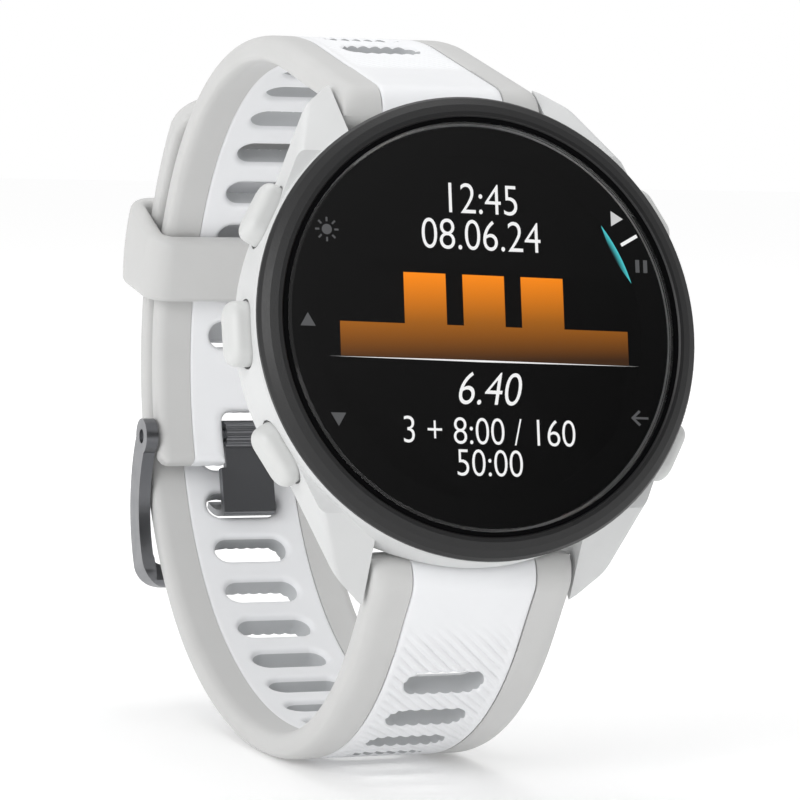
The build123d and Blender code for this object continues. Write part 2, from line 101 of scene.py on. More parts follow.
def addTone(tree, shader, low, high, patch):
    # slow drift between two close colours, patch is its size in mm
    place = addNode(tree, "ShaderNodeTexCoord")
    noise = addNode(tree, "ShaderNodeTexNoise", {"Scale": 1 / (patch * mm), "Detail": 3.0},
                    {"Vector": (place, "Object")})
    ramp = addNode(tree, "ShaderNodeValToRGB", {}, {"Fac": (noise, "Fac")})
    ramp.color_ramp.elements[0].position, ramp.color_ramp.elements[1].position = 0.3, 0.7
    ramp.color_ramp.elements[0].color, ramp.color_ramp.elements[1].color = toLinear(low), toLinear(high)
    tree.links.new(ramp.outputs["Color"], shader.inputs["Base Color"])


def addRoughness(tree, shader, low, high, size, stretch=(1, 1, 1)):
    # roughness that varies over the surface, size is in mm, stretch squeezes it along an axis
    place = addNode(tree, "ShaderNodeTexCoord")
    mapping = addNode(tree, "ShaderNodeMapping", {"Scale": stretch}, {"Vector": (place, "Object")})
    noise = addNode(tree, "ShaderNodeTexNoise", {"Scale": 1 / (size * mm), "Detail": 3.0},
                    {"Vector": (mapping, "Vector")})
    spread = addNode(tree, "ShaderNodeMapRange", {"To Min": low, "To Max": high}, {"Value": (noise, "Fac")})
    tree.links.new(spread.outputs["Result"], shader.inputs["Roughness"])
    return noise


def mouldedNylon():
    # glass-filled nylon, moulded in light grey: satin, with a grain that only shows close up
    material, tree, shader = newMaterial("glassFilledNylonLightGrey", "#d2d3d3", 0.48, IOR=1.5)
    addTone(tree, shader, "#d0d1d1", "#d4d5d5", 9.0)
    addGrain(tree, shader, 0.22, 0.006)   # real grain is about 0.05 mm, drawn coarser so that it shows
    return material


def mouldedButton():
    # same nylon in a finer mould: slightly smoother, so the rounded rims catch a soft line of light
    material, tree, shader = newMaterial("glassFilledNylonButton", "#cdcecd", 0.4, IOR=1.5)
    addGrain(tree, shader, 0.2, 0.004)
    return material


def blackBezel():
    # black nylon with a blasted mould texture: no mirror, a broad grey sheen with a faint sparkle
    material, tree, shader = newMaterial("blastedNylonBlack", "#141415", 0.42, IOR=1.5)
    addGrain(tree, shader, 0.16, 0.014, 4.0)
    addRoughness(tree, shader, 0.36, 0.5, 0.4)
    return material


def coverGlass():
    # strengthened glass, polished: clear, with sharp reflections that strengthen towards the edge
    material, tree, shader = newMaterial("strengthenedGlass", "#ffffff", 0.0, IOR=1.5)
    edge = addNode(tree, "ShaderNodeFresnel", {"IOR": 1.5})
    clear = addNode(tree, "ShaderNodeBsdfTransparent")
    polish = addNode(tree, "ShaderNodeBsdfGlossy", {"Roughness": 0.0})
    both = addNode(tree, "ShaderNodeMixShader", {}, {"Fac": (edge, "Fac")})
    tree.links.new(clear.outputs["BSDF"], both.inputs[1])
    tree.links.new(polish.outputs["BSDF"], both.inputs[2])
    tree.links.new(both.outputs["Shader"], tree.nodes["Material Output"].inputs["Surface"])
    tree.nodes.remove(shader)
    return material


def displayStack():
    # transflective display behind its polariser: near black with a weak satin sheen
    material, tree, shader = newMaterial("transflectivePanel", "#070708", 0.35, IOR=1.5)
    shader.inputs["Specular IOR Level"].default_value = 0.05
    return material


def plainMoulding(name, colour, roughness, grain=0.2, height=0.004):
    material, tree, shader = newMaterial(name, colour, roughness, IOR=1.5)
    addGrain(tree, shader, grain, height)
    return material


def plainMetal(name, colour, roughness, size=1.5):
    material, tree, shader = newMaterial(name, colour, roughness, Metallic=1.0)
    addRoughness(tree, shader, roughness - 0.06, roughness + 0.08, size)
    return material


def brushedGunmetal():
    # stainless steel, brushed and dark coated: streaky along the piece, soft bright bands
    material, tree, shader = newMaterial("brushedGunmetalSteel", "#808184", 0.32, Metallic=1.0)
    addRoughness(tree, shader, 0.24, 0.4, 1.6, (14, 1, 1))
    return material


def solderMask():
    # green solder mask over copper tracks: glossy, slightly mottled where tracks run under it
    material, tree, shader = newMaterial("solderMaskGreen", "#0f4a2f", 0.3, IOR=1.5)
    place = addNode(tree, "ShaderNodeTexCoord")
    tracks = addNode(tree, "ShaderNodeTexBrick", {"Scale": 1 / (6 * mm), "Color1": toLinear("#0f4a2f"),
                     "Color2": toLinear("#12563a"), "Mortar": toLinear("#1d6b48")}, {"Vector": (place, "Object")})
    tree.links.new(tracks.outputs["Color"], shader.inputs["Base Color"])
    return material


def softSilicone(name, colour, shade, grain):
    # liquid silicone rubber, moulded matte: soft wide highlights, light goes a little way into it
    material, tree, shader = newMaterial(name, colour, 0.55, IOR=1.41)
    shader.inputs["Sheen Weight"].default_value = 0.15
    shader.inputs["Sheen Roughness"].default_value = 0.5
    addTone(tree, shader, colour, shade, 7.0)
    addGrain(tree, shader, grain, 0.004)
    return material


def glowing(name, colour, strength):
    # lit pixels of the display, flat colour that needs no other light; the printed legends use it too, as painted light
    material, tree, shader = newMaterial(name, "#000000", 0.5)
    shader.inputs["Emission Color"].default_value = toLinear(colour)
    shader.inputs["Emission Strength"].default_value = strength
    return material


finishes = {
    "case_polymer": mouldedNylon(),
    "button_polymer": mouldedButton(),
    "bezel_polymer": blackBezel(),
    "lens_glass": coverGlass(),
    "display": displayStack(),
    "flex_circuit": plainMoulding("polyimideFilmAmber", "#b4712a", 0.3, 0.5, 0.002),
    "black_polymer": plainMoulding("polycarbonateBlack", "#1b1b1c", 0.5),
    "circuit_board": solderMask(),
    "chip_epoxy": plainMoulding("epoxyMouldBlack", "#202123", 0.55, 0.1, 0.003),
    "tinned_steel": plainMetal("tinnedSteelSheet", "#c3c4c6", 0.34),
    "cell_foil": plainMetal("laminatedPouchFoil", "#c9cacd", 0.4, 3.0),
    "contact_brass": plainMetal("goldFlashedBrass", "#e0b766", 0.28),
    "cover_polymer": plainMoulding("nylonBlackSatin", "#2b2b2d", 0.48, 0.22, 0.006),
    "seal_rubber": plainMoulding("siliconeSealBlack", "#242425", 0.7),
    "screw_steel": plainMetal("stainlessSteelTurned", "#babbbe", 0.3, 0.8),
    "sensor_glass": plainMoulding("tintedPolycarbonatePolished", "#0d0d10", 0.06, 0.6, 0.0004),
    "led_lens": plainMoulding("clearEpoxyGreenLed", "#4fd07a", 0.15, 0.5, 0.001),
    "silicone_grey": softSilicone("siliconeRubberLightGrey", "#c9c9c8", "#c6c6c5", 0.25),
    "silicone_white": softSilicone("siliconeRubberWhite", "#eeeff1", "#ebecee", 0.25),
    "gunmetal_steel": brushedGunmetal(),
}
slotOf = {row["node"]: row["material_slot"] for row in frame["record"]["subparts"]}
for nodeName, nodeObject in frame["nodes"].items():
    nodeObject.data.materials.clear()
    nodeObject.data.materials.append(finishes[slotOf[nodeName]])
print("materials made")


# mesh helpers

def meshPiece(name, points, faces, slotName, body, sharpAngle=35, material=None):
    mesh = bpy.data.meshes.new(name)
    mesh.from_pydata([tuple(p) for p in np.asarray(points, float) * mm], [], faces)
    mesh.validate()
    piece = bpy.data.objects.new(name, mesh)
    bpy.context.scene.collection.objects.link(piece)
    mesh.shade_smooth()
    mesh.set_sharp_from_angle(angle=math.radians(sharpAngle))
    mesh.materials.append(material or finishes[slotName])
    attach(piece, body)
    return piece


def rampSteps(*stops):
    # grid lines from (from, to, step) stretches, joined into one rising list
    lines = []
    for low, high, step in stops:
        count = max(1, int(round((high - low) / step)))
        lines += [low + (high - low) * i / count for i in range(count + 1)]
    lines = sorted(lines)
    return np.array([v for i, v in enumerate(lines) if i == 0 or v - lines[i - 1] > 1e-6])


def roundOver(distance, width, height):
    # drop of a rounded edge at a distance in from it
    inward = np.clip((width - distance) / width, 0, 1)
    return height * (1 - np.sqrt(np.clip(1 - inward ** 2, 0, 1)))


def smoothStep(low, high, value):
    t = np.clip((value - low) / (high - low), 0, 1)
    return t * t * (3 - 2 * t)


def roundedBox(u, v, uLow, uHigh, vLow, vHigh, corner):
    # distance inside a rectangle with round corners, negative outside
    du = np.abs(u - (uLow + uHigh) / 2) - ((uHigh - uLow) / 2 - corner)
    dv = np.abs(v - (vLow + vHigh) / 2) - ((vHigh - vLow) / 2 - corner)
    outside = np.hypot(np.maximum(du, 0), np.maximum(dv, 0))
    return corner - outside - np.minimum(np.maximum(du, dv), 0)


def plateFaces(us, vs, inside):
    # grid over us and vs cut to where inside(u, v) > 0, with the nearest grid points moved onto its edge
    u, v = np.meshgrid(us, vs, indexing="ij")
    d = inside(u, v)
    e = 1e-4
    gu = (inside(u + e, v) - inside(u - e, v)) / (2 * e)
    gv = (inside(u, v + e) - inside(u, v - e)) / (2 * e)
    stepU, stepV = np.diff(us), np.diff(vs)
    hu = np.minimum(np.append(stepU, stepU[-1]), np.append(stepU[0], stepU))[:, None]
    hv = np.minimum(np.append(stepV, stepV[-1]), np.append(stepV[0], stepV))[None, :]
    near = np.abs(d) <= 0.5 * (np.abs(gu) * hu + np.abs(gv) * hv) + 1e-7
    norm = np.maximum(gu ** 2 + gv ** 2, 1e-9)
    u = np.where(near, u - d * gu / norm, u)
    v = np.where(near, v - d * gv / norm, v)
    state = np.where(near, 0, np.sign(d)).astype(int)
    index = np.arange(u.size).reshape(u.shape)
    corners = [(slice(None, -1), slice(None, -1)), (slice(1, None), slice(None, -1)),
               (slice(1, None), slice(1, None)), (slice(None, -1), slice(1, None))]
    states = np.stack([state[c].ravel() for c in corners], 1)
    ids = np.stack([index[c].ravel() for c in corners], 1)
    middleU = np.stack([u[c].ravel() for c in corners], 1)
    middleV = np.stack([v[c].ravel() for c in corners], 1)
    outCount = (states < 0).sum(1)
    solid = (states > 0).any(1) | (inside(middleU.mean(1), middleV.mean(1)) > 0)
    quads = ids[(outCount == 0) & solid]
    triangles = []
    for missing in range(4):
        keep = [i for i in range(4) if i != missing]
        chosen = (outCount == 1) & (states[:, missing] < 0)
        chosen &= (states[:, keep] > 0).any(1) | (inside(middleU[:, keep].mean(1), middleV[:, keep].mean(1)) > 0)
        triangles.append(ids[chosen][:, keep])
    triangles = np.concatenate(triangles)
    used = np.unique(np.concatenate([quads.ravel(), triangles.ravel()]))
    number = np.full(u.size, -1)
    number[used] = np.arange(used.size)
    return u.ravel()[used], v.ravel()[used], number[quads], number[triangles]


def plate(name, us, vs, inside, outerDepth, innerDepth, place, slotName, body, rings=2, wallShade=None):
    # closed sheet between two depths, laid along the strap by place(u, v, depth)
    # the optional (material, distance function) pair paints shade: that darker material goes on the rim faces where
    # that distance is near zero
    u, v, quads, triangles = plateFaces(us, vs, inside)
    count = u.size
    top, bottom = outerDepth(u, v), innerDepth(u, v)
    bottom = np.maximum(bottom, top + 0.02)
    faces = [tuple(q) for q in quads.tolist()] + [tuple(t) for t in triangles.tolist()]
    faces += [tuple(i + count for i in reversed(f)) for f in faces]
    directed = [np.stack([p[:, i], p[:, (i + 1) % p.shape[1]]], 1)
                for p in (quads, triangles) for i in range(p.shape[1])]
    directed = np.concatenate(directed)
    forward = directed[:, 0] * count + directed[:, 1]
    backward = directed[:, 1] * count + directed[:, 0]
    rim = directed[~np.isin(forward, backward)]
    rimIds = np.unique(rim)
    points = [place(u, v, top), place(u, v, bottom)]
    layer = [{int(i): int(i) for i in rimIds}]
    start = 2 * count
    for ring in range(1, rings + 1):
        share = ring / (rings + 1)
        points.append(place(u[rimIds], v[rimIds], top[rimIds] * (1 - share) + bottom[rimIds] * share))
        layer.append({int(i): start + k for k, i in enumerate(rimIds)})
        start += rimIds.size
    layer.append({int(i): int(i) + count for i in rimIds})
    sheetFaces = len(faces)
    for a, b in rim.tolist():
        for upper, lower in zip(layer, layer[1:]):
            faces.append((upper[b], upper[a], lower[a], lower[b]))
    piece = meshPiece(name, np.concatenate(points), faces, slotName, body)
    # rim faces along the slots get the darker material, painted shade
    if wallShade and len(piece.data.polygons) == len(faces):
        piece.data.materials.append(wallShade[0])
        shadedWall = np.repeat(wallShade[1](u.ravel()[rim[:, 0]], v.ravel()[rim[:, 0]]) < 0.05, len(layer) - 1)
        index = np.zeros(len(faces), dtype=np.int32)
        index[sheetFaces:] = shadedWall
        piece.data.polygons.foreach_set("material_index", index)
    return piece


# strap

strap = {
    "halfWidth": 9.9, "coreHalf": 6.2, "thickness": 2.7,
    "loopCentre": (25.7, 2.6), "innerLayerR": 32.8, "outerLayerR": 36.8,
    "barY": -2.6, "barZ": 22.0, "knuckleR": 2.5,
    "slotW": 8.0, "slotH": 3.1, "slotPitch": 5.9,
    "bridge": 7.0, "coreSkin": 1.3, "knuckleSkin": 0.7,
    "ribPitch": 0.86, "ribDepth": 0.24, "ribSideFade": 0.9,
    "edgeWidth": 1.7, "edgeHeight": 0.95, "innerEdgeWidth": 1.2, "innerEdgeHeight": 0.75,
    "grooveWidth": 0.13, "grooveDepth": 0.5, "coreEdge": (0.55, 0.14),
    "slotLipOut": (0.3, 0.12), "slotLipIn": (0.7, 0.5),
    "cell": 0.16,
}


def onCircle(centre, radius, angle):
    return centre[0] + radius * math.cos(math.radians(angle)), centre[1] + radius * math.sin(math.radians(angle))


def bearing(centre, bar, radius):
    # direction from an arc's centre to the bar, and the angle from it to the shared tangent's normal
    dy, dz = bar[0] - centre[0], bar[1] - centre[1]
    reach = math.degrees(math.acos((radius - strap["knuckleR"]) / math.hypot(dy, dz)))
    return math.degrees(math.atan2(dz, dy)), reach


def finishPath(arcs, bar):
    # adds the straight run to the bar, as (start point, None, normal angle, length)
    centre, radius, first, last = arcs[-1]
    start, stop = onCircle(centre, radius, last), onCircle(bar, strap["knuckleR"], last)
    return arcs + [(start, None, last, math.dist(start, stop))]


def upperPath():
    centre, bar = strap["loopCentre"], (strap["barY"], strap["barZ"])
    heading, reach = bearing(centre, bar, strap["innerLayerR"])
    return finishPath([(centre, strap["innerLayerR"], -9.5, heading - reach)], bar)


def lowerPath():
    centre, bar = strap["loopCentre"], (strap["barY"], -strap["barZ"])
    arcs = [(centre, strap["outerLayerR"], 62, -48)]
    for radius, first, last in ((46.7, -48, -80), (31.5, -80, None)):
        centre = onCircle(centre, arcs[-1][1] - radius, first)
        if last is None:
            heading, reach = bearing(centre, bar, radius)
            last = heading + reach
        arcs.append((centre, radius, first, last))
    return finishPath(arcs, bar)


def stretchLength(stretch):
    return stretch[3] if stretch[1] is None else stretch[1] * math.radians(abs(stretch[3] - stretch[2]))


def placeOn(path):
    # maps (across, along, depth) to the strap's shape, along from its loose end
    turn = 1 if path[0][3] > path[0][2] else -1

    def place(u, v, depth):
        y, z = np.zeros_like(v), np.zeros_like(v)
        passed = 0.0
        for number, stretch in enumerate(path):
            centre, radius, first, last = stretch
            length = stretchLength(stretch)
            final = number == len(path) - 1
            here = (v >= passed if number else v > -1e9) & ((v < passed + length) | final)
            along = v[here] - passed
            if radius is None:
                c, s = math.cos(math.radians(first)), math.sin(math.radians(first))
                y[here] = centre[0] - turn * s * along - c * depth[here]
                z[here] = centre[1] + turn * c * along - s * depth[here]
            else:
                angle = np.radians(first) + turn * along / radius
                y[here] = centre[0] + (radius - depth[here]) * np.cos(angle)
                z[here] = centre[1] + (radius - depth[here]) * np.sin(angle)
            passed += length
        return np.stack([u, y, z], 1)

    return place


def knuckleDepths(v, length):
    # depths of the strap's two faces where it thickens round the spring bar
    r = strap["knuckleR"]
    along = v - length
    height = np.sqrt(np.clip(r ** 2 - along ** 2, 0, None))
    outer = np.where(along > 0, r - height, 0.0)
    swell = r + height
    flat = strap["thickness"] + 0.0 * v
    blend = 0.7                                     # soft fillet where the knuckle meets the band
    h = np.clip(0.5 + 0.5 * (swell - flat) / blend, 0, 1)
    joined = flat * (1 - h) + swell * h + blend * h * (1 - h) * 0.5
    inner = np.where(along > -r - 1.2, np.where(along < -0.6, joined, swell), flat)
    return outer, inner


# painted shade: the slot walls take a darker grey silicone colour in place of the shade inside the slots
slotWallShade = softSilicone("siliconeSlotWallPaintedShade", "#bcbec0", "#b7b9bb", 0.3)


def strapHalf(prefix, path, slots, coreStart, notch, ribTurn, ribEnd, corner, lever):
    length = sum(stretchLength(s) for s in path)
    half, coreHalf, cell = strap["halfWidth"], strap["coreHalf"], strap["cell"]
    r, bridgeFrom = strap["knuckleR"], length - strap["bridge"]
    end = length + r
    place = placeOn(path)
    pad = -60 if coreStart is None else coreStart
    tip = 0.5 * strap["slotH"]

    def notchDistance(u, v):
        # distance outside the tongue's notch at the buckle end
        return -roundedBox(u, v, -notch[0], notch[0], -20, notch[1], 1.2) if notch else 99.0

    def outline(u, v):
        return roundedBox(u, v, -half, half, 0, end + 40, corner)

    def slotDistance(u, v):
        away = np.full_like(u, 99.0)
        flat = strap["slotW"] / 2 - tip
        for at in slots:
            away = np.minimum(away, np.hypot(np.maximum(np.abs(u) - flat, 0), v - at) - tip)
        return away

    def pocket(u, v):
        return roundedBox(u, v, -coreHalf, coreHalf, pad, bridgeFrom, 0.0001 if coreStart is None else 0.6)

    def leverPocket(u, v):
        inPocket = (u > lever[0]) & (u < lever[1]) & (v > length - 3.4) & (v < length + 0.5)
        return inPocket

    def borderInside(u, v):
        return np.minimum(np.minimum(outline(u, v), -pocket(u, v)), notchDistance(u, v))

    def edges(u, v, outer, inner):
        away = np.minimum(outline(u, v), np.minimum(end - v + 50, notchDistance(u, v)))
        room = 0.48 * (inner - outer)
        outer = outer + np.minimum(roundOver(away, strap["edgeWidth"], strap["edgeHeight"]), room)
        inner = inner - np.minimum(roundOver(away, strap["innerEdgeWidth"], strap["innerEdgeHeight"]), room)
        return outer, inner

    def skin(v):
        # depth of the seam between the core's skin and the border's bridge round the knuckle
        along = v - length
        core = r - strap["knuckleSkin"]
        height = np.sqrt(np.clip(core ** 2 - along ** 2, 0, None))
        return np.where(along > 0, r - height, strap["coreSkin"])

    def borderOuter(u, v):
        outer, inner = knuckleDepths(v, length)
        outer, inner = edges(u, v, outer, inner)
        outer = outer + np.minimum(roundOver(-pocket(u, v), 0.16, 0.1), 0.2) * (v < bridgeFrom)
        under = (np.abs(u) < coreHalf - 1e-3) & (v >= bridgeFrom - 1e-3)
        return np.where(under, np.minimum(skin(v) + 0.02, inner - 0.05), outer)

    def borderInner(u, v):
        outer, inner = knuckleDepths(v, length)
        outer, inner = edges(u, v, outer, inner)
        return np.where(leverPocket(u, v), np.minimum(inner, 2.55), inner)

    uLines = rampSteps((-half, -half + 1.6, 0.13), (-half + 1.6, -coreHalf, 0.35), (-coreHalf + 0.02, lever[0], 0.5),
                       (lever[0] + 0.03, lever[1], 0.4), (lever[1] + 0.03, coreHalf - 0.02, 0.5),
                       (coreHalf, half - 1.6, 0.35), (half - 1.6, half, 0.13))
    turnLines = [length + r * math.sin(math.radians(4.5 * i)) for i in range(1, 21)]
    vLines = np.concatenate([rampSteps((0, 2.4, 0.16), (2.4, max(pad, 2.5), 0.3), (max(pad, 2.5), bridgeFrom, 0.45),
                                       (bridgeFrom, length - 3.4, 0.3), (length - 3.37, length, 0.2)), turnLines])
    border = plate(prefix + "StrapBorder", uLines, vLines, borderInside, borderOuter, borderInner, place,
                   "silicone_grey", prefix + "_strap")
    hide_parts(prefix + "_strap_border")

    def coreInside(u, v):
        body = roundedBox(u, v, -coreHalf, coreHalf, pad, end + 40, 0.0001 if coreStart is None else 0.6)
        return np.minimum(np.minimum(body, outline(u, v)), np.minimum(slotDistance(u, v), notchDistance(u, v)))

    def coreOuter(u, v):
        outer, inner = knuckleDepths(v, length)
        side = roundedBox(u, v, -coreHalf, coreHalf, pad, end + 40, 0.6)
        outer, inner = edges(u, v, outer, inner)
        across = (u + ribTurn * v) / math.sqrt(2)
        ridge = np.abs(np.sin(math.pi * across / strap["ribPitch"])) ** 0.75
        fade = 1 - smoothStep(length - ribEnd[1], length - ribEnd[0], v)
        fade = fade * smoothStep(0.35, 0.35 + strap["ribSideFade"], side)
        drop = strap["ribDepth"] * fade * (1 - ridge)
        drop = drop + roundOver(side - strap["grooveWidth"], *strap["coreEdge"])
        drop = drop + roundOver(slotDistance(u, v), *strap["slotLipOut"])
        groove = side < strap["grooveWidth"] - 0.01
        drop = np.where(groove, strap["grooveDepth"], drop)
        return outer + np.minimum(drop, 0.6 * np.maximum(skin(v) - outer, 0.3))

    def coreInner(u, v):
        outer, inner = knuckleDepths(v, length)
        outer, inner = edges(u, v, outer, inner)
        side = roundedBox(u, v, -coreHalf, coreHalf, pad, end + 40, 0.6)
        lip = roundOver(slotDistance(u, v), *strap["slotLipIn"]) + roundOver(side - 0.06, 0.4, 0.1)
        lip = np.where(side < 0.05, 0.3, lip)
        return np.where(v >= bridgeFrom - 1e-3, skin(v), inner - lip)

    g = strap["grooveWidth"]
    uLines = rampSteps((-coreHalf, -coreHalf + 0.04, 0.04), (-coreHalf + 0.06, -coreHalf + g - 0.02, 0.1),
                       (-coreHalf + g, coreHalf - g, cell), (coreHalf - g + 0.02, coreHalf - 0.06, 0.1),
                       (coreHalf - 0.04, coreHalf, 0.04))
    vStart = 0 if coreStart is None else coreStart
    vLines = np.concatenate([rampSteps((vStart, vStart + 0.04, 0.04), (vStart + 0.06, vStart + g - 0.02, 0.1),
                                       (vStart + g, bridgeFrom - 0.02, cell), (bridgeFrom, length, cell)), turnLines])
    # the slot walls get the darker grey, painted shade
    core = plate(prefix + "StrapCore", uLines, vLines, coreInside, coreOuter, coreInner, place,
                 "silicone_white", prefix + "_strap", wallShade=(slotWallShade, slotDistance))
    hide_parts(prefix + "_strap_core")
    return border, core


def slotRow(radius, firstAngle, slotAngle, back, on):
    start = radius * math.radians(abs(firstAngle - slotAngle))
    return [start + strap["slotPitch"] * step for step in range(-back, on + 1)]


leverGap = (3.2, 5.9)
strapHalf("upper", upperPath(), slotRow(strap["innerLayerR"], -9.5, 16.4, 0, 10),
          coreStart=None, notch=(2.6, 6.0), ribTurn=-1, ribEnd=(5.5, 9.0), corner=1.3, lever=leverGap)
print("upper strap made")
strapHalf("lower", lowerPath(), slotRow(strap["outerLayerR"], 62, -15.7, 7, 12),
          coreStart=6.0, notch=None, ribTurn=1, ribEnd=(3.0, 7.0), corner=4.5, lever=leverGap)
print("lower strap made")


# keeper

keeper = {
    "angle": 31, "width": 9.0, "wall": 1.7, "sideGap": 0.25, "innerGap": 0.25, "outerGap": 0.9,
    "edgeRound": 0.75, "cornerR": 1.75, "crown": 0.18, "steps": 96,
}


def roundedLoop(halfX, halfR, corner, steps):
    # points and outward normals round a rectangle with round corners
    points, normals = [], []
    perCorner = steps // 8
    for quarter, (sx, sr) in enumerate(((1, 1), (-1, 1), (-1, -1), (1, -1))):
        for i in range(perCorner + 1):
            angle = math.radians(90 * quarter + 90 * i / perCorner)
            points.append((sx * (halfX - corner) + corner * math.cos(angle),
                           sr * (halfR - corner) + corner * math.sin(angle)))
            normals.append((math.cos(angle), math.sin(angle)))
        nx, nr = normals[-1]
        nextX, nextR = ((-1, 1), (-1, -1), (1, -1), (1, 1))[quarter]
        goal = (nextX * (halfX - corner) + corner * nx, nextR * (halfR - corner) + corner * nr)
        here = points[-1]
        for i in range(1, perCorner):
            share = i / perCorner
            points.append((here[0] + (goal[0] - here[0]) * share, here[1] + (goal[1] - here[1]) * share))
            normals.append((nx, nr))
    return points, normals


def keeperBand():
    low = strap["innerLayerR"] - strap["thickness"] - keeper["innerGap"]
    high = strap["outerLayerR"] + keeper["outerGap"]
    wall, middle = keeper["wall"], (low + high) / 2
    loop, loopNormals = roundedLoop(strap["halfWidth"] + keeper["sideGap"] + wall / 2, (high - low + wall) / 2,
                                    keeper["cornerR"], keeper["steps"])
    section, _ = roundedLoop(wall / 2, keeper["width"] / 2, keeper["edgeRound"], 48)
    points, count = [], len(section)
    for (x, radial), (nx, nr) in zip(loop, loopNormals):
        for across, along in section:
            swell = keeper["crown"] * (1 - (2 * along / keeper["width"]) ** 2) * (across > 0)
            offset = across + swell
            radius = middle + radial + nr * offset
            angle = math.radians(keeper["angle"]) + along / strap["outerLayerR"]
            points.append((x + nx * offset, strap["loopCentre"][0] + radius * math.cos(angle),
                           strap["loopCentre"][1] + radius * math.sin(angle)))
    faces, rounds = [], len(loop)
    for i in range(rounds):
        for j in range(count):
            a, b = i * count + j, i * count + (j + 1) % count
            c, d = (i + 1) % rounds * count + (j + 1) % count, (i + 1) % rounds * count + j
            faces.append((a, b, c, d))
    piece = meshPiece("keeperBand", points, faces, "silicone_grey", "keeper", 50)
    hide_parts("keeper")


keeperBand()
print("keeper made")


# display picture: generic numerals, a bar graph and icons, no words

display = {
    "tealIn": 18.55, "tealOut": 19.05,
    "turn": -2.0, "level": -10.425, "stackStep": 0.006,
    "step": (-13.7, 14.6, 0.05), "tall": ((-7.45, -3.35), (-1.7, 2.4), (4.05, 8.25)), "tallTop": 4.78, "base": -3.12,
    "line": (-14.9, 15.7, 0.16),
    "numerals": (("12:45", 0.37, 10.5, 3.0, 0), ("08.06.24", 0.33, 7.1, 3.0, 0), ("6.40", 0.4, -7.2, 3.2, 0.22),
                 ("3 + 8:00 / 160", 0.45, -10.85, 2.6, 0), ("50:00", 0.35, -13.75, 2.6, 0)),
}
maskInk, _, maskShader = newMaterial("screenInkBlack", "#070708", 0.4)
maskShader.inputs["Specular IOR Level"].default_value = 0.05


def glassMask(name, outer, inner, front, thickness, steps=160):
    # flat black ring: ink on the back of the glass that hides the case's inner edge, or a bead of sealant
    points, faces = [], []
    for radius, y in ((outer, 0), (inner, 0), (inner, thickness), (outer, thickness)):
        points += [(radius * math.cos(2 * math.pi * i / steps), front + y,
                    radius * math.sin(2 * math.pi * i / steps)) for i in range(steps)]
    for ring in range(4):
        for i in range(steps):
            a, b = ring * steps + i, ring * steps + (i + 1) % steps
            c, d = (ring + 1) % 4 * steps + (i + 1) % steps, (ring + 1) % 4 * steps + i
            faces.append((a, b, c, d))
    return meshPiece(name, points, faces, "lens_glass", "case", 30, maskInk)


glassMask("glassMask", 18.6, 15.95, display["level"] - display["stackStep"], 0.012)
glassMask("glassSeal", 19.36, 18.97, -11.32, 1.1)     # black bead in the gap round the glass
displayWhite = glowing("displayWhite", "#f4f4f4", 1.0)


def tealFade():
    # teal pixels, brightest along the rim of the screen and fading inwards
    material, tree, shader = newMaterial("displayTeal", "#000000", 0.5)
    place = addNode(tree, "ShaderNodeTexCoord")
    reach = addNode(tree, "ShaderNodeVectorMath", {"operation": "LENGTH"}, {0: (place, "Object")})
    share = addNode(tree, "ShaderNodeMapRange",
                    {"From Min": display["tealIn"] * mm, "From Max": display["tealOut"] * mm},
                    {"Value": (reach, "Value")})
    ramp = addNode(tree, "ShaderNodeValToRGB", {}, {"Fac": (share, "Result")})
    stops = ramp.color_ramp.elements
    stops[0].color, stops[1].color = toLinear("#04181b"), toLinear("#4fd6dc")
    tree.links.new(ramp.outputs["Color"], shader.inputs["Emission Color"])
    shader.inputs["Emission Strength"].default_value = 1.0
    return material


displayTeal = tealFade()
# the printed legend ink glows: painted light, since print gives off none
legendGlowGrey = glowing("legendInkGreyGlowing", "#6f7072", 0.55)
legendGlowBright = glowing("legendInkBrightGlowing", "#d8d8d8", 0.9)


def orangeFade():
    # amber pixels that fade to brown towards the base line
    material, tree, shader = newMaterial("displayAmber", "#000000", 0.5)
    place = addNode(tree, "ShaderNodeTexCoord")
    split = addNode(tree, "ShaderNodeSeparateXYZ", {}, {"Vector": (place, "Object")})
    share = addNode(tree, "ShaderNodeMapRange", {"From Min": display["base"] * mm, "From Max": display["tallTop"] * mm},
                    {"Value": (split, "Z")})
    ramp = addNode(tree, "ShaderNodeValToRGB", {}, {"Fac": (share, "Result")})
    stops = ramp.color_ramp.elements
    stops[0].color, stops[1].color = toLinear("#3a1f02"), toLinear("#ff8c05")
    middle = stops.new(0.45)
    middle.color = toLinear("#a05c06")
    tree.links.new(ramp.outputs["Color"], shader.inputs["Emission Color"])
    shader.inputs["Emission Strength"].default_value = 1.0
    return material


def turned(outlines, x, z, angle):
    c, s = math.cos(math.radians(angle)), math.sin(math.radians(angle))
    return [[(x + c * px - s * pz, z + s * px + c * pz) for px, pz in outline] for outline in outlines]


def flatShape(name, outlines, material, raised=2):
    # thin solid tiles on the display, each outline a list of (x, z)
    points, faces = [], []
    y0 = display["level"] - raised * display["stackStep"]
    y1 = y0 + display["stackStep"]
    for outline in outlines:
        start, n = len(points), len(outline)
        outline = turned([outline], 0, 0, display["turn"])[0]
        points += [(x, y0, z) for x, z in outline] + [(x, y1, z) for x, z in outline]
        faces += [tuple(range(start, start + n)), tuple(reversed(range(start + n, start + 2 * n)))]
        faces += [(start + i, start + n + i, start + n + (i + 1) % n, start + (i + 1) % n) for i in range(n)]
    return meshPiece(name, points, faces, "display", "case", 30, material)


def rectangle(x0, x1, z0, z1):
    return [(x0, z0), (x1, z0), (x1, z1), (x0, z1)]


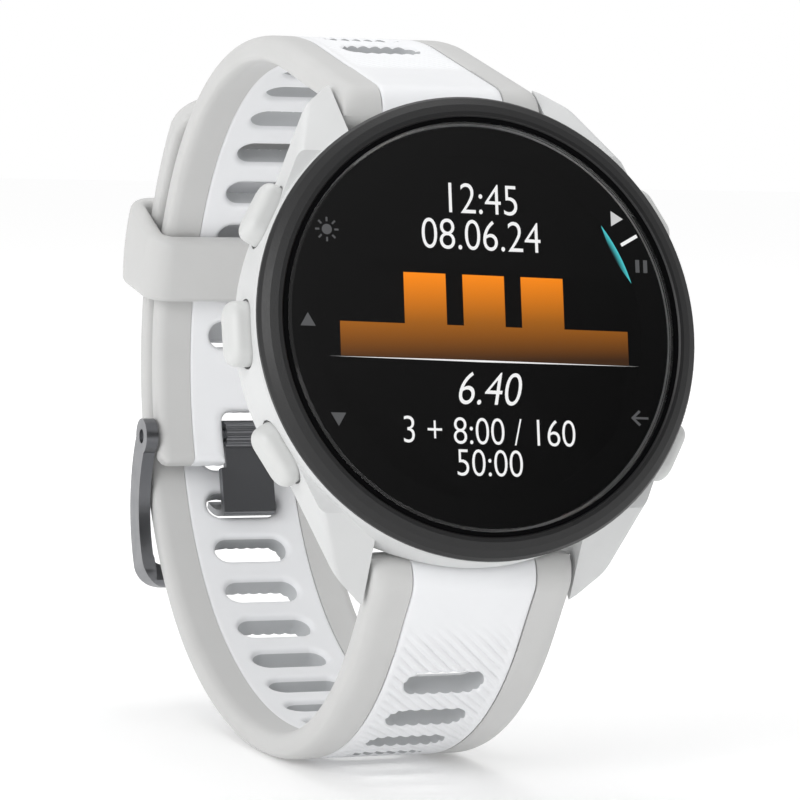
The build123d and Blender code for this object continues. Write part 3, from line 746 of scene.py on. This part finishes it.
def numerals(name, text, x, z, size, shear):
    curve = bpy.data.curves.new(name, "FONT")
    curve.body, curve.size, curve.align_x, curve.shear = text, size * 1.38 * mm, "CENTER", shear
    curve.space_character, curve.extrude, curve.resolution_u = 0.98, 0.003 * mm, 6
    curve.offset = -0.035 * mm     # light strokes
    holder = bpy.data.objects.new(name + "Curve", curve)
    bpy.context.scene.collection.objects.link(holder)
    bpy.context.view_layer.update()
    mesh = bpy.data.meshes.new_from_object(holder)
    bpy.data.objects.remove(holder)
    narrow = 0.86
    mesh.transform(Matrix.Rotation(math.radians(-display["turn"]), 4, "Y")
                   @ Matrix.Translation((x * mm, (display["level"] - 2.5 * display["stackStep"]) * mm, z * mm))
                   @ Matrix.Rotation(math.radians(90), 4, "X") @ Matrix.Diagonal((narrow, 1, 1, 1)))
    mesh.materials.clear()
    mesh.materials.append(displayWhite)
    piece = bpy.data.objects.new(name, mesh)
    bpy.context.scene.collection.objects.link(piece)
    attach(piece, "case")


amber = orangeFade()
x0, x1, stepTop = display["step"]
graph = [(x0, display["base"]), (x1, display["base"]), (x1, stepTop)]
for left, right in reversed(display["tall"]):
    graph += [(right, stepTop), (right, display["tallTop"]), (left, display["tallTop"]), (left, stepTop)]
graph.append((x0, stepTop))
flatShape("displayGraph", [graph], amber)
lineX0, lineX1, lineT = display["line"]
lineEnd, lineTop = display["base"] - 0.06, display["base"] + 0.02
flatShape("displayBaseLine", [[(lineX0, lineEnd), (0, display["base"] - lineT), (lineX1, lineEnd), (0, lineTop)]],
          displayWhite, 4)
for number, (text, x, z, size, shear) in enumerate(display["numerals"]):
    numerals("displayNumerals%d" % number, text, x, z, size, shear)


def discOutline(radius, count=28, x=0.0, z=0.0):
    return [(x + radius * math.cos(2 * math.pi * i / count), z + radius * math.sin(2 * math.pi * i / count))
            for i in range(count)]


# button icons printed under the glass beside each button; their ink glows, painted light that stands in for the print
# being lit
sun = [discOutline(0.48)] + turned([rectangle(-0.09, 0.09, 0.72, 1.12)], 0, 0, 0)
for step in range(1, 8):
    sun += turned([rectangle(-0.09, 0.09, 0.72, 1.12)], 0, 0, 45 * step)
triangle = [[(-0.72, -0.5), (0.72, -0.5), (0, 0.72)]]
bent = [[(-0.9, 0), (-0.1, 0.75), (0.08, 0.58), (-0.46, 0.1), (0.85, 0.1), (0.85, -0.1), (-0.46, -0.1), (0.08, -0.58),
         (-0.1, -0.75)]]
legends = (("legendLight", sun, -14.7, 8.4, 0, legendGlowGrey), ("legendUp", triangle, -16.75, 0.0, 0, legendGlowGrey),
           ("legendDown", triangle, -14.1, -8.8, 180, legendGlowGrey),
           ("legendRun", triangle, 13.9, 10.7, -90, legendGlowBright),
           ("legendPause", [rectangle(-0.6, -0.2, -0.6, 0.6), rectangle(0.2, 0.6, -0.6, 0.6)],
            16.3, 6.3, 0, legendGlowGrey),
           ("legendBack", bent, 15.5, -8.0, 0, legendGlowGrey),
           ("legendTick", [rectangle(-0.95, 0.95, -0.16, 0.16)], 15.15, 8.7, 30, displayWhite))
for name, outlines, x, z, angle, ink in legends:
    flatShape(name, turned(outlines, x, z, angle), ink)

crescentOut = [(15.9 * math.cos(math.radians(a)), 15.9 * math.sin(math.radians(a))) for a in range(17, 40)]
crescentIn = [(15.9 * math.cos(math.radians(a)) - 0.55 * math.sin(math.radians((a - 17) * 180 / 22)),
               15.9 * math.sin(math.radians(a)) - 0.32 * math.sin(math.radians((a - 17) * 180 / 22)))
              for a in range(38, 17, -1)]
flatShape("displayCrescent", [crescentOut + crescentIn], displayTeal)
print("display made")


# stage, light and camera

stage = {
    "tilt": 14.0, "size": 3.0, "floor": "#f4f4f4", "ambient": 0.62,
    "glow": (0.17, 0.42), "glowFrom": 50, "glowTo": 260,
}
side, tilt = stage["size"], math.radians(stage["tilt"])
up = Vector((0, -math.sin(tilt), math.cos(tilt)))
lowest = min((o.matrix_world @ v.co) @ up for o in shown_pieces() if o.type == "MESH" for v in o.data.vertices)
# the floor glows, painted light: weakest near the watch and rising with distance, so it is darker round the watch and
# fades to white far off
floorMaterial, floorTree, floorShader = newMaterial("whitePaperFloorPaintedGlow", stage["floor"], 1.0)
floorShader.inputs["Specular IOR Level"].default_value = 0.0
floorShader.inputs["Emission Color"].default_value = (1, 1, 1, 1)
place = addNode(floorTree, "ShaderNodeTexCoord")
reach = addNode(floorTree, "ShaderNodeVectorMath", {"operation": "LENGTH"}, {"Vector": (place, "Object")})
glow = addNode(floorTree, "ShaderNodeMapRange", {"From Min": stage["glowFrom"] * mm, "From Max": stage["glowTo"] * mm,
               "To Min": stage["glow"][0], "To Max": stage["glow"][1]}, {"Value": (reach, "Value")})
floorTree.links.new(glow.outputs["Result"], floorShader.inputs["Emission Strength"])
floorMesh = bpy.data.meshes.new("floor")
alongFloor = Vector((0, math.cos(tilt), math.sin(tilt)))
corners = [up * lowest + Vector((sx * side, 0, 0)) + alongFloor * (sy * side)
           for sx, sy in ((-1, -1), (1, -1), (1, 1), (-1, 1))]
floorMesh.from_pydata([tuple(c) for c in corners], [], [(0, 1, 2, 3)])
floorMesh.materials.append(floorMaterial)
floor = bpy.data.objects.new("floor", floorMesh)
bpy.context.scene.collection.objects.link(floor)
floor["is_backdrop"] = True

world = bpy.data.worlds.new("studio")
bpy.context.scene.world = world
world.use_nodes = True
worldTree = world.node_tree
background = worldTree.nodes["Background"]
direction = addNode(worldTree, "ShaderNodeTexCoord")
parts = addNode(worldTree, "ShaderNodeSeparateXYZ", {}, {"Vector": (direction, "Generated")})
sideShare = addNode(worldTree, "ShaderNodeMapRange",
                    {"From Min": -1.0, "From Max": 1.0, "To Min": 1.12, "To Max": 0.88}, {"Value": (parts, "X")})
ambient = addNode(worldTree, "ShaderNodeMath", {"operation": "MULTIPLY"}, {"Value": (sideShare, "Result")})
ambient.inputs[1].default_value = stage["ambient"]
rays = addNode(worldTree, "ShaderNodeLightPath")
seen = addNode(worldTree, "ShaderNodeMath", {"operation": "MAXIMUM"}, {"Value": (ambient, "Value")})
worldTree.links.new(rays.outputs["Is Camera Ray"], seen.inputs[1])
worldTree.links.new(seen.outputs["Value"], background.inputs["Strength"])
background.inputs["Color"].default_value = (1, 1, 1, 1)


flag = {"centre": (0.20, -0.56, 0.10), "halfWidth": 0.5, "halfHeight": 0.5}


def reflectionCard():
    # a graded dark card in front that only reflections see, so the glass stays black with a soft light side
    material, tree, shader = newMaterial("gradedCard", "#000000", 1.0)
    place = addNode(tree, "ShaderNodeTexCoord")
    split = addNode(tree, "ShaderNodeSeparateXYZ", {}, {"Vector": (place, "Object")})
    lean = addNode(tree, "ShaderNodeMath", {"operation": "SUBTRACT"}, {0: (split, "X")})
    tree.links.new(split.outputs["Z"], lean.inputs[1])
    share = addNode(tree, "ShaderNodeMapRange", {"From Min": -0.1, "From Max": 0.28}, {"Value": (lean, "Value")})
    ramp = addNode(tree, "ShaderNodeValToRGB", {}, {"Fac": (share, "Result")})
    ramp.color_ramp.elements[0].color = (1, 1, 1, 1)
    ramp.color_ramp.elements[1].color = (0, 0, 0, 1)
    tree.links.new(ramp.outputs["Color"], shader.inputs["Emission Color"])
    shader.inputs["Emission Strength"].default_value = 0.5
    x, y, z = flag["centre"]
    w, h = flag["halfWidth"], flag["halfHeight"]
    mesh = bpy.data.meshes.new("reflectionCard")
    mesh.from_pydata([(x - w, y, z - h), (x + w, y, z - h), (x + w, y, z + h), (x - w, y, z + h)], [], [(0, 1, 2, 3)])
    mesh.materials.append(material)
    card = bpy.data.objects.new("reflectionCard", mesh)
    bpy.context.scene.collection.objects.link(card)
    card.visible_camera = card.visible_diffuse = card.visible_shadow = card.visible_transmission = False
    card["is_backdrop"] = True


reflectionCard()


def areaLight(name, place, target, size, power):
    light = bpy.data.lights.new(name, "AREA")
    light.shape, light.size, light.size_y, light.energy = "RECTANGLE", size[0], size[1], power
    lamp = bpy.data.objects.new(name, light)
    lamp.location = place
    lamp.rotation_euler = (Vector(target) - Vector(place)).to_track_quat("-Z", "Y").to_euler()
    bpy.context.scene.collection.objects.link(lamp)


lights = (("keyLeft", (-0.55, -0.45, 0.18), (0, 0, 0), (0.4, 0.4), 2.2),
          ("topSoft", (0.05, 0.05, 0.7), (0, 0, 0), (0.5, 0.5), 1.6))
for lightName, place, target, size, power in lights:
    areaLight(lightName, place, target, size, power)

cameraSettings = {"place": (-128.95, -313.9, -56.53), "right": (0.93103, -0.35917, -0.06474),
                  "up": (0.00531, -0.16406, 0.98645), "back": (-0.36492, -0.91874, -0.15084), "lens": 165.4}
cameraData = bpy.data.cameras.new("camera")
cameraData.lens, cameraData.sensor_width = cameraSettings["lens"], 36
cameraData.clip_start, cameraData.clip_end = 0.01, 20
camera = bpy.data.objects.new("camera", cameraData)
columns = [cameraSettings[k] for k in ("right", "up", "back")]
camera.matrix_world = Matrix([[columns[c][r] for c in range(3)] + [cameraSettings["place"][r] * mm] for r in range(3)]
                             + [[0, 0, 0, 1]])
bpy.context.scene.collection.objects.link(camera)
bpy.context.scene.camera = camera
bpy.context.scene.view_settings.view_transform = "Standard"
print("stage set")
